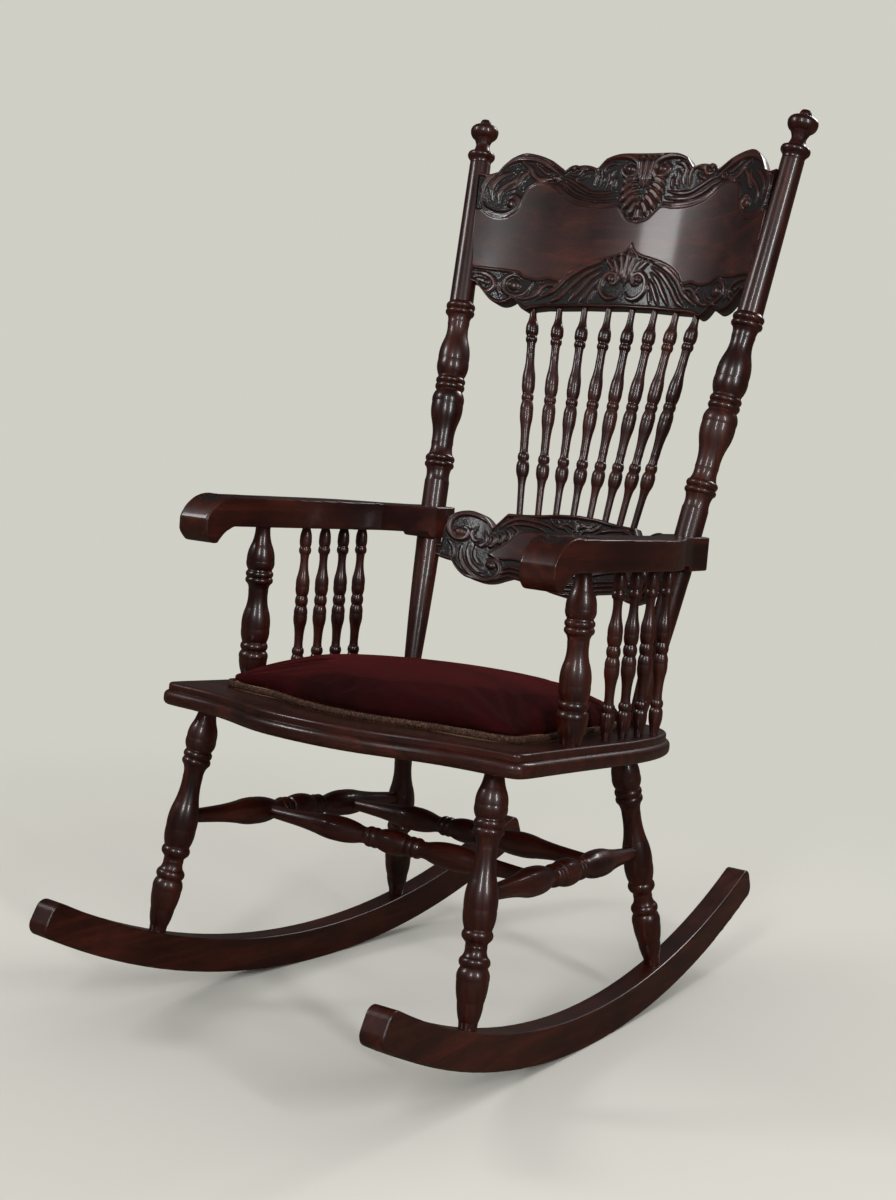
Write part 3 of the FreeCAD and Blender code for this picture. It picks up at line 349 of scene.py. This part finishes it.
def surface(name, places, finish, marks=None):
    """Piece from a grid of places, its last row joined to its first, seams merged, faces outward."""
    rows, columns = places.shape[:2]
    numbers = np.arange(rows * columns).reshape(rows, columns)
    numbers = np.concatenate([numbers, numbers[:1]])
    quads = np.stack([numbers[:-1, :-1], numbers[:-1, 1:], numbers[1:, 1:], numbers[1:, :-1]], axis=-1)
    mesh = bpy.data.meshes.new(name)
    mesh.from_pydata(places.reshape(-1, 3), [], quads.reshape(-1, 4))
    for key, values in (marks or {}).items():
        mark = mesh.attributes.new(key, "FLOAT", "POINT")
        mark.data.foreach_set("value", np.ascontiguousarray(values, np.float32).ravel())
    knit = bmesh.new()
    knit.from_mesh(mesh)
    bmesh.ops.remove_doubles(knit, verts=knit.verts, dist=1e-6)
    bmesh.ops.recalc_face_normals(knit, faces=knit.faces)
    knit.to_mesh(mesh)
    knit.free()
    mesh.polygons.foreach_set("use_smooth", np.ones(len(mesh.polygons), bool))
    mesh.materials.append(finish)
    piece = bpy.data.objects.new(name, mesh)
    bpy.context.scene.collection.objects.link(piece)
    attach(piece, "root")
    return piece


RAIL_EASE = 2.0
RAIL_BACK_SHARES = (1, 0.985, 0.96, 0.8, 0.6, 0.4, 0.2, 0.04, 0.015, 0)
RAIL_BACK_ROUND = (2.5, 0.8, 0, 0, 0, 0, 0, 0, 0.8, 2.5)


def carved_rail(name, node, rail, outlines, relief, taper=None, columns=430, rows=185):
    """Bowed board on a grid of distance across and share of its height.

    The front stands at the bow's depth less half the thickness, pushed out by the carving's height
    and eased back towards the edges. The back is plain, with its edges rounded.
    """
    top_line, foot_line = (sampled(outline) for outline in outlines)
    half = top_line[-1, 0]
    across = np.linspace(-half, half, columns)
    top = np.interp(abs(across), top_line[:, 0], top_line[:, 1])
    foot = np.interp(abs(across), foot_line[:, 0], foot_line[:, 1])
    share = np.linspace(0, 1, rows)[:, None]
    s = foot + (top - foot) * share
    x = across * taper(s) if taper else across + 0 * s
    shape = s.shape
    wide_top = np.broadcast_to(top, shape).ravel()
    wide_foot = np.broadcast_to(foot, shape).ravel()
    level, wax_and_painted_shade = relief(abs(x).ravel(), s.ravel(), wide_top, wide_foot)
    rim = np.minimum(top - s, s - foot)
    inside = np.clip(RAIL_EASE - rim, 0, None)
    drop = RAIL_EASE - np.sqrt(np.clip(RAIL_EASE ** 2 - inside ** 2, 0, None))
    front = bow_depth(rail, x) - rail["thickness"] / 2 - level.reshape(shape) + drop
    back_share = np.array(RAIL_BACK_SHARES)[:, None]
    back_s = foot + (top - foot) * back_share
    back_x = across * taper(back_s) if taper else across + 0 * back_s
    back = bow_depth(rail, back_x) + rail["thickness"] / 2 - np.array(RAIL_BACK_ROUND)[:, None]
    places = np.concatenate([back_places(x, front, s), back_places(back_x, back, back_s)])
    middle = places.mean(0, keepdims=True)
    places = np.concatenate([np.broadcast_to(middle[:, :1], places[:, :1].shape), places,
                             np.broadcast_to(middle[:, -1:], places[:, :1].shape)], axis=1)
    # Share of dark wax and painted shade at each place of the carved front; the back has none.
    deep = np.zeros(places.shape[:2])
    deep[:rows, 1:-1] = wax_and_painted_shade.reshape(shape)
    piece = surface(name, places, CARVED["x"], marks={"wax_and_painted_shade": deep})
    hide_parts(node)


def crest_taper(s):
    """Narrows the crest rail downward, as the posts splay."""
    return 1 - CREST_TAPER / CREST_TOP[-1][0] * (CREST_TAPER_LEVEL - s) / CREST_TAPER_RUN


def vertex_places(mesh):
    """Places of a mesh's vertices as an array."""
    places = np.empty(len(mesh.vertices) * 3)
    mesh.vertices.foreach_get("co", places)
    return places.reshape(-1, 3)


def copied(name, node, finish):
    """A merged copy of a CAD node that takes the node's place."""
    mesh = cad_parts[node].data.copy()
    mesh.name = name
    knit = bmesh.new()
    knit.from_mesh(mesh)
    bmesh.ops.remove_doubles(knit, verts=knit.verts, dist=1e-6)
    knit.to_mesh(mesh)
    knit.free()
    mesh.materials.clear()
    mesh.materials.append(finish)
    piece = bpy.data.objects.new(name, mesh)
    bpy.context.scene.collection.objects.link(piece)
    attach(piece, "root")
    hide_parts(node)
    return piece


def remeshed(piece, voxel, softening):
    """Gives a piece an even mesh and wears its edges down."""
    even = piece.modifiers.new("even", "REMESH")
    even.mode = "VOXEL"
    even.voxel_size = voxel
    worn = piece.modifiers.new("worn", "SMOOTH")
    worn.factor = 0.5
    worn.iterations = softening
    settle(piece)


def settle(piece):
    """Applies a piece's modifiers to its mesh."""
    bpy.context.view_layer.update()
    graph = bpy.context.evaluated_depsgraph_get()
    made = bpy.data.meshes.new_from_object(piece.evaluated_get(graph))
    finish = piece.data.materials[0]
    piece.modifiers.clear()
    piece.data = made
    made.materials.clear()
    made.materials.append(finish)
    made.polygons.foreach_set("material_index", np.zeros(len(made.polygons), np.int32))
    made.polygons.foreach_set("use_smooth", np.ones(len(made.polygons), bool))


# Leaf carved on each arm, one half: distance from the arm's middle and back from its front.
ARM_STRANDS = [
    ([(0, 30), (0, 62), (0, 98)], 2.6, 2.8),
    ([(3, 36), (9, 50), (9, 68), (4, 82)], 2.8, 2.8),
    ([(7, 38), (14, 50), (15, 70), (11, 88)], 2.6, 2.6),
    ([(4, 84), (9, 92), (10, 100), (6, 104)], 2.4, 2.4),
    ([(10, 28), (15, 34), (16, 42)], 2.4, 2.4)]
ARM_BORDER = [(0, 22), (6, 20), (12, 24), (18, 32), (18, 60), (18, 100), (12, 106), (0, 109)]
ARM_GROUND_DEPTH = 1.3
ARM_CARVED_HALF = 19
ARM_CARVED_START = 20
ARM_VOXEL = 0.0014
ARM_SOFTENING = 5


def carved_arm(side, sign):
    """Arm with worn edges, the leaf on its rolled front cut into the upper face."""
    piece = copied("carved_arm_" + side, "arm_" + side, CARVED["y"])
    remeshed(piece, ARM_VOXEL, ARM_SOFTENING)
    mesh = piece.data
    places = vertex_places(mesh)
    normals = np.empty(len(mesh.vertices) * 3)
    mesh.vertex_normals.foreach_get("vector", normals)
    normals = normals.reshape(-1, 3)
    x = abs(places[:, 0] * sign - ARM_MIDDLE) / MM
    s = (places[:, 1] - ARM_FRONT) / MM
    upper = eased(normals[:, 2], *ARM_UPWARD)
    inside = eased(ARM_CARVED_HALF - x, -1, 1) * eased(ARM_CARVED_RUN - s, -1, 1)
    inside *= eased(s, ARM_CARVED_START, ARM_CARVED_START + 2)
    level = GROUND * inside + stipple(x, s) * inside
    for route, width, height in ARM_STRANDS:
        add_stroke(level, x, s, route, width, height, vein=ARM_VEIN)
    add_stroke(level, x, s, ARM_BORDER, *ARM_BORDER_SIZE, ends=EVEN)
    level = level * upper * ARM_GROUND_DEPTH / abs(GROUND)
    places += normals * (level * MM)[:, None]
    mesh.vertices.foreach_set("co", places.ravel())
    # Share of dark wax and painted shade in the arm's carved ground.
    mark = mesh.attributes.new("wax_and_painted_shade", "FLOAT", "POINT")
    mark.data.foreach_set("value", (inside * upper * eased(-level, 0.2, 1.1)).astype(np.float32))
    mesh.update()


CUSHION_VOXEL = 0.005
CUSHION_DRAW_IN = 0.985
CUSHION_START_HEIGHT = 0.93
CUSHION_PRESSURE = 4.0
CUSHION_CAP = 0.006
CUSHION_HELD = 0.007
CUSHION_FRAMES = 20
CUSHION_SOFTENING = 6


def foot_height(places):
    """Height of every place above the plane that the cushion stands on."""
    return places[:, 2] - (SEAT_HEIGHT - (places[:, 1] - SEAT_PLACE) * SEAT_FALL + CUSHION_LIFT)


def cushion_cover():
    """Cover blown up as cloth from a slightly smaller start, its foot held down on the board."""
    piece = copied("velvet_cushion", "seat_cushion", VELVET)
    start = vertex_places(piece.data)
    middle = (start.min(0) + start.max(0)) / 2
    height = foot_height(start)
    start[:, :2] = middle[:2] + (start[:, :2] - middle[:2]) * CUSHION_DRAW_IN
    start[:, 2] -= height * (1 - CUSHION_START_HEIGHT)
    piece.data.vertices.foreach_set("co", start.ravel())
    remeshed(piece, CUSHION_VOXEL, CUSHION_SOFTENING)
    blow_up(piece)
    soft = piece.modifiers.new("soft", "SUBSURF")
    soft.levels = soft.render_levels = 1


def blow_up(piece):
    """Cloth under pressure with the foot pinned, its travel capped, applied to the mesh."""
    start = vertex_places(piece.data)
    held = piece.vertex_groups.new(name="held")
    height = foot_height(start)
    held.add([int(i) for i in np.flatnonzero(height < CUSHION_HELD)], 1.0, "REPLACE")
    cloth = piece.modifiers.new("cover", "CLOTH")
    cloth.settings.quality = 5
    cloth.settings.use_pressure = True
    cloth.settings.uniform_pressure_force = CUSHION_PRESSURE
    cloth.settings.vertex_group_mass = "held"
    cloth.settings.effector_weights.gravity = 0.0
    for number in range(1, CUSHION_FRAMES + 1):
        bpy.context.scene.frame_set(number)
    settle(piece)
    bpy.context.scene.frame_set(1)
    moved = vertex_places(piece.data) - start
    travel = np.linalg.norm(moved, axis=1, keepdims=True)
    start += moved * np.minimum(1, CUSHION_CAP / np.maximum(travel, 1e-9))
    piece.data.vertices.foreach_set("co", start.ravel())
    piece.data.update()
    piece.vertex_groups.clear()


BRAID_TURNS = 2600
BRAID_SECTION = 12
BRAID_HALF_HEIGHT = 0.0042
BRAID_HALF_DEPTH = 0.0019
BRAID_RIDGES = 430
BRAID_RIDGE = 0.22
BRAID_WINDOW = 0.05
BRAID_LIFT = 0.0003


def braid_cord():
    """Twisted gimp on a grid of turn and angle round its section.

    The section is an oval just inside the braid solid's outer wall, drawn in by
    BRAID_RIDGE * |cos(twist + angle)|^3, where the twist grows evenly along the wall.
    """
    wall = vertex_places(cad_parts["cushion_braid"].data)
    middle = (wall.min(0) + wall.max(0)) / 2
    angle = np.arctan2(wall[:, 1] - middle[1], wall[:, 0] - middle[0])
    reach = np.hypot(wall[:, 0] - middle[0], wall[:, 1] - middle[1])
    order = np.argsort(angle)
    angle, reach = angle[order], reach[order]
    nearby = [reach[abs(angle - turn) < BRAID_WINDOW].max() for turn in angle]
    outer = reach > np.array(nearby) - BRAID_HALF_DEPTH
    angle, reach = angle[outer], reach[outer]
    turn = np.linspace(-math.pi, math.pi, BRAID_TURNS, endpoint=False)
    line = np.interp(turn, angle, reach, period=2 * math.pi) - BRAID_HALF_DEPTH
    x = middle[0] + line * np.cos(turn)
    y = middle[1] + line * np.sin(turn)
    run = np.cumsum(np.hypot(np.diff(x, append=x[0]), np.diff(y, append=y[0])))
    twist = run / run[-1] * BRAID_RIDGES * math.pi
    round_about = np.linspace(0, 2 * math.pi, BRAID_SECTION, endpoint=False)[:, None]
    swell = 1 - BRAID_RIDGE * abs(np.cos(twist + round_about)) ** 3
    out = line + BRAID_HALF_DEPTH * np.cos(round_about) * swell
    up = BRAID_HALF_HEIGHT * (1 + np.sin(round_about) * swell)
    px = middle[0] + out * np.cos(turn)
    py = middle[1] + out * np.sin(turn)
    pz = SEAT_HEIGHT - (py - SEAT_PLACE) * SEAT_FALL + up + BRAID_LIFT
    places = np.stack([px, py, pz], axis=-1)
    places = np.concatenate([places, places[:, :1]], axis=1)
    piece = surface("twisted_braid", places, BRAID)
    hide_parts("cushion_braid")


# Materials


class Finish:
    """A material being wired: each call adds one node and joins its named inputs."""

    def __init__(self, name):
        self.material = bpy.data.materials.new(name)
        self.material.use_nodes = True
        self.tree = self.material.node_tree
        self.tree.nodes.clear()

    def add(self, kind, *inputs, **settings):
        """One shader node: plain values and sockets go to its inputs, other names to its settings."""
        node = self.tree.nodes.new("ShaderNode" + kind)
        joined = dict(enumerate(inputs))
        for key, value in settings.items():
            if key.replace("_", " ") in node.inputs:
                joined[key.replace("_", " ")] = value
            else:
                setattr(node, key, value)
        for key, value in joined.items():
            if isinstance(value, bpy.types.NodeSocket):
                self.tree.links.new(value, node.inputs[key])
            elif value is not None:
                node.inputs[key].default_value = value
        return node

    def ramp(self, value, *stops):
        """Colour ramp through (place, colour) stops."""
        node = self.add("ValToRGB", value)
        while len(node.color_ramp.elements) < len(stops):
            node.color_ramp.elements.new(1.0)
        for element, (place, color) in zip(node.color_ramp.elements, stops):
            element.position = place
            element.color = (*color, 1.0)
        return node.outputs[0]

    def blend(self, share, first, second, how="MIX"):
        """Mix of two colours by a share."""
        node = self.tree.nodes.new("ShaderNodeMix")
        node.data_type = "RGBA"
        node.blend_type = how
        for socket, value in ((node.inputs[0], share), (node.inputs[6], first), (node.inputs[7], second)):
            if isinstance(value, bpy.types.NodeSocket):
                self.tree.links.new(value, socket)
            else:
                socket.default_value = value
        return node.outputs[2]

    def done(self, shader):
        """The finished material, showing one shader."""
        self.add("OutputMaterial", shader.outputs[0])
        return self.material


GRAIN_ACROSS = 16.0
POLISH_ROUGHNESS = 0.36
POLISH_COAT = 0.45
POLISH_COAT_ROUGHNESS = 0.11


def mahogany(name, axis, carved=False):
    """Dark red polished wood: long figure and fine pores along one axis; carved hollows are darkened partly
    by dark wax and partly by painted shade.
    """
    f = Finish(name)
    place = f.add("TexCoord").outputs["Object"]
    stretch = [GRAIN_ACROSS] * 3
    stretch["xyz".index(axis)] = 1.0
    along = f.add("Mapping", place, Scale=stretch).outputs[0]
    figure = f.add("TexNoise", Vector=along, Scale=4.2, Detail=5.0, Roughness=0.62,
                   Distortion=0.6).outputs[0]
    broad = f.add("TexNoise", Vector=place, Scale=9.0, Detail=3.0, Roughness=0.5).outputs[0]
    pores = f.add("TexNoise", Vector=along, Scale=42.0, Detail=3.0, Roughness=0.7).outputs[0]
    color = f.ramp(figure, (0.28, (0.006, 0.0006, 0.0004)), (0.5, (0.024, 0.0022, 0.0007)),
                   (0.72, (0.080, 0.0100, 0.0014)))
    patches = f.ramp(broad, (0.35, (0.008, 0.0007, 0.0004)), (0.65, (0.075, 0.0090, 0.0012)))
    color = f.blend(0.35, color, patches)
    streak = f.ramp(pores, (0.36, (0.35, 0.3, 0.3)), (0.5, (1.0, 1.0, 1.0)))
    color = f.blend(0.7, color, streak, "MULTIPLY")
    rough = f.add("MapRange", broad, 0.3, 0.7, POLISH_ROUGHNESS - 0.05, POLISH_ROUGHNESS + 0.1).outputs[0]
    if carved:
        # Painted shade: the carved ground turns near black, partly as dark wax lodged in the cuts and partly
        # as shade painted into the recesses.
        wax_and_painted_shade = f.add("Attribute", attribute_name="wax_and_painted_shade").outputs["Fac"]
        color = f.blend(wax_and_painted_shade, color, (0.004, 0.0009, 0.0007, 1.0))
        rough = f.add("Math", rough, f.add("Math", wax_and_painted_shade, 0.3, operation="MULTIPLY").outputs[0]).outputs[0]
    bump = f.add("Bump", Strength=0.12, Distance=0.0006, Height=pores).outputs[0]
    return f.done(f.add("BsdfPrincipled", Base_Color=color, Roughness=rough, Normal=bump,
                        **{"Coat Weight": POLISH_COAT, "Coat Roughness": POLISH_COAT_ROUGHNESS}))


def bare_wood(name):
    """Pale unfinished board under the upholstery."""
    f = Finish(name)
    along = f.add("Mapping", f.add("TexCoord").outputs["Object"], Scale=(1.0, 18.0, 18.0)).outputs[0]
    figure = f.add("TexNoise", Vector=along, Scale=6.0, Detail=5.0).outputs[0]
    color = f.ramp(figure, (0.3, (0.34, 0.19, 0.09)), (0.7, (0.6, 0.42, 0.24)))
    return f.done(f.add("BsdfPrincipled", Base_Color=color, Roughness=0.75))


def velvet(name):
    """Crimson pile: deep ground colour, brushed patches and a bright sheen at glancing angles."""
    f = Finish(name)
    place = f.add("TexCoord").outputs["Object"]
    brushed = f.add("TexNoise", Vector=place, Scale=7.0, Detail=3.0, Distortion=1.2).outputs[0]
    pile = f.add("TexNoise", Vector=place, Scale=900.0, Detail=2.0).outputs[0]
    color = f.ramp(brushed, (0.3, (0.013, 0.0002, 0.0004)), (0.7, (0.034, 0.0005, 0.0009)))
    shade = f.ramp(pile, (0.35, (0.4, 0.35, 0.35)), (0.65, (1.3, 1.2, 1.2)))
    color = f.blend(0.4, color, shade, "MULTIPLY")
    bump = f.add("Bump", Strength=0.35, Distance=0.0006, Height=pile).outputs[0]
    return f.done(f.add("BsdfPrincipled", Base_Color=color, Roughness=0.88, Normal=bump,
                        **{"Sheen Weight": 0.22, "Sheen Roughness": 0.3, "Sheen Tint": (0.6, 0.03, 0.04, 1.0),
                           "Specular IOR Level": 0.1}))


def woven_braid(name):
    """Brown and gold gimp: fine slanting threads."""
    f = Finish(name)
    place = f.add("TexCoord").outputs["Object"]
    thread = f.add("TexNoise", Vector=place, Scale=420.0, Detail=2.0).outputs[0]
    color = f.ramp(thread, (0.35, (0.018, 0.005, 0.002)), (0.55, (0.060, 0.018, 0.007)),
                   (0.75, (0.150, 0.062, 0.024)))
    bump = f.add("Bump", Strength=0.6, Distance=0.0008, Height=thread).outputs[0]
    return f.done(f.add("BsdfPrincipled", Base_Color=color, Roughness=0.7, Normal=bump))


MAHOGANY = {axis: mahogany("mahogany_along_" + axis, axis) for axis in "xyz"}
CARVED = {axis: mahogany("carved_mahogany_along_" + axis, axis, carved=True) for axis in "xy"}
BARE_WOOD = bare_wood("bare_board")
VELVET = velvet("crimson_velvet")
BRAID = woven_braid("woven_braid")


def dress_nodes():
    """Gives every CAD node a finish whose grain runs along its longest side."""
    for name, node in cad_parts.items():
        low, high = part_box(name)
        size = high - low
        finish = MAHOGANY["xyz"[max(range(3), key=lambda i: size[i])]]
        if name == "cushion_board":
            finish = BARE_WOOD
        if name == "seat_cushion":
            finish = VELVET
        if name == "cushion_braid":
            finish = BRAID
        if not node.material_slots:
            node.data.materials.append(None)
        for slot in node.material_slots:
            slot.material = finish


def camera():
    """Camera at the photograph's place, angle and roll."""
    azimuth, drop, roll = CAMERA_AZIMUTH, CAMERA_DROP, CAMERA_ROLL
    forward = Vector((-math.sin(azimuth) * math.cos(drop), math.cos(azimuth) * math.cos(drop),
                      -math.sin(drop)))
    level = Vector((math.cos(azimuth), math.sin(azimuth), 0))
    upright = level.cross(forward)
    right = level * math.cos(roll) + upright * math.sin(roll)
    up = upright * math.cos(roll) - level * math.sin(roll)
    data = bpy.data.cameras.new("camera")
    data.lens = CAMERA_LENS
    data.sensor_width = 36.0
    data.clip_end = 50.0
    made = bpy.data.objects.new("camera", data)
    turn = Matrix((right, up, -forward)).transposed().to_4x4()
    made.matrix_world = Matrix.Translation(CAMERA_PLACE) @ turn
    bpy.context.scene.collection.objects.link(made)
    bpy.context.scene.camera = made


# Studio: colours of the backdrop and floor as seen and as mirrored in the polish, in linear light,
# the floor's size, the distances over which it fades into the backdrop, and the surround's strengths.
BACKDROP = (0.63, 0.625, 0.56, 1.0)
FLOOR_HALF = 14.0
FLOOR_COLOR = (0.70, 0.69, 0.635, 1.0)
MIRRORED_FLOOR = (0.09, 0.075, 0.06, 1.0)
FLOOR_FADE = (0.75, 1.7)
LIT_STRENGTH = 0.5
MIRRORED_STRENGTH = 0.05


def light(name, place, target, size, power):
    """Soft rectangular lamp aimed at a point."""
    data = bpy.data.lights.new(name, "AREA")
    data.shape = "RECTANGLE"
    data.size, data.size_y = size
    data.energy = power
    made = bpy.data.objects.new(name, data)
    made.location = place
    made.rotation_mode = "QUATERNION"
    made.rotation_quaternion = (Vector(target) - Vector(place)).to_track_quat("-Z", "Y")
    bpy.context.scene.collection.objects.link(made)


def studio():
    """Pale floor that runs into a plain pale backdrop, and soft lamps round the chair."""
    mesh = bpy.data.meshes.new("floor")
    corners = [(-1, -1), (1, -1), (1, 1), (-1, 1)]
    mesh.from_pydata([(x * FLOOR_HALF, y * FLOOR_HALF, 0) for x, y in corners], [], [(0, 1, 2, 3)])
    floor = bpy.data.objects.new("floor", mesh)
    bpy.context.scene.collection.objects.link(floor)
    f = Finish("pale_floor")
    near = f.add("BsdfDiffuse", Color=FLOOR_COLOR).outputs[0]
    far = f.add("Emission", Color=BACKDROP).outputs[0]
    distance = f.add("VectorMath", f.add("TexCoord").outputs["Object"], operation="LENGTH").outputs["Value"]
    fade = f.add("MapRange", distance, *FLOOR_FADE, 0.0, 1.0, interpolation_type="SMOOTHSTEP").outputs[0]
    rays = f.add("LightPath").outputs
    share = f.add("Math", fade, rays["Is Camera Ray"], operation="MULTIPLY").outputs[0]
    shown = f.add("MixShader", share, near, far).outputs[0]
    mirrored = f.add("BsdfDiffuse", Color=MIRRORED_FLOOR).outputs[0]
    mesh.materials.append(f.done(f.add("MixShader", rays["Is Glossy Ray"], shown, mirrored)))
    world = bpy.data.worlds.new("studio")
    world.use_nodes = True
    bpy.context.scene.world = world
    tree = world.node_tree
    tree.nodes.clear()
    lamp = tree.nodes.new("ShaderNodeBackground")
    lamp.inputs[0].default_value = (1.0, 0.985, 0.96, 1.0)
    lamp.inputs[1].default_value = LIT_STRENGTH
    seen = tree.nodes.new("ShaderNodeBackground")
    seen.inputs[0].default_value = BACKDROP
    mix = tree.nodes.new("ShaderNodeMixShader")
    dim = tree.nodes.new("ShaderNodeBackground")
    dim.inputs[0].default_value = (1.0, 0.95, 0.9, 1.0)
    dim.inputs[1].default_value = MIRRORED_STRENGTH
    shine = tree.nodes.new("ShaderNodeMixShader")
    rays = tree.nodes.new("ShaderNodeLightPath")
    out = tree.nodes.new("ShaderNodeOutputWorld")
    tree.links.new(rays.outputs["Is Camera Ray"], mix.inputs[0])
    tree.links.new(rays.outputs["Is Glossy Ray"], shine.inputs[0])
    tree.links.new(lamp.outputs[0], shine.inputs[1])
    tree.links.new(dim.outputs[0], shine.inputs[2])
    tree.links.new(shine.outputs[0], mix.inputs[1])
    tree.links.new(seen.outputs[0], mix.inputs[2])
    tree.links.new(mix.outputs[0], out.inputs[0])
    light("key", (1.0, -2.9, 1.95), (0, 0, 0.6), (0.3, 1.1), 27.0)
    light("side", (2.7, -1.2, 1.7), (0, 0, 0.6), (0.26, 1.2), 32.0)
    light("fill", (-2.2, -1.9, 2.3), (0, 0, 0.6), (0.8, 0.8), 24.0)
    light("back", (0.4, 2.4, 2.4), (0, 0, 0.7), (1.2, 0.8), 26.0)


dress_nodes()
carved_rail("carved_crest_rail", "crest_rail", CREST, (CREST_TOP, CREST_FOOT), crest_relief, crest_taper)
carved_rail("carved_lower_rail", "lower_back_rail", RAIL, (RAIL_TOP, RAIL_FOOT), rail_relief,
            columns=380, rows=130)
carved_arm("right", 1)
carved_arm("left", -1)
cushion_cover()
braid_cord()
camera()
studio()
bpy.context.scene.view_settings.view_transform = "Standard"
bpy.context.view_layer.update()
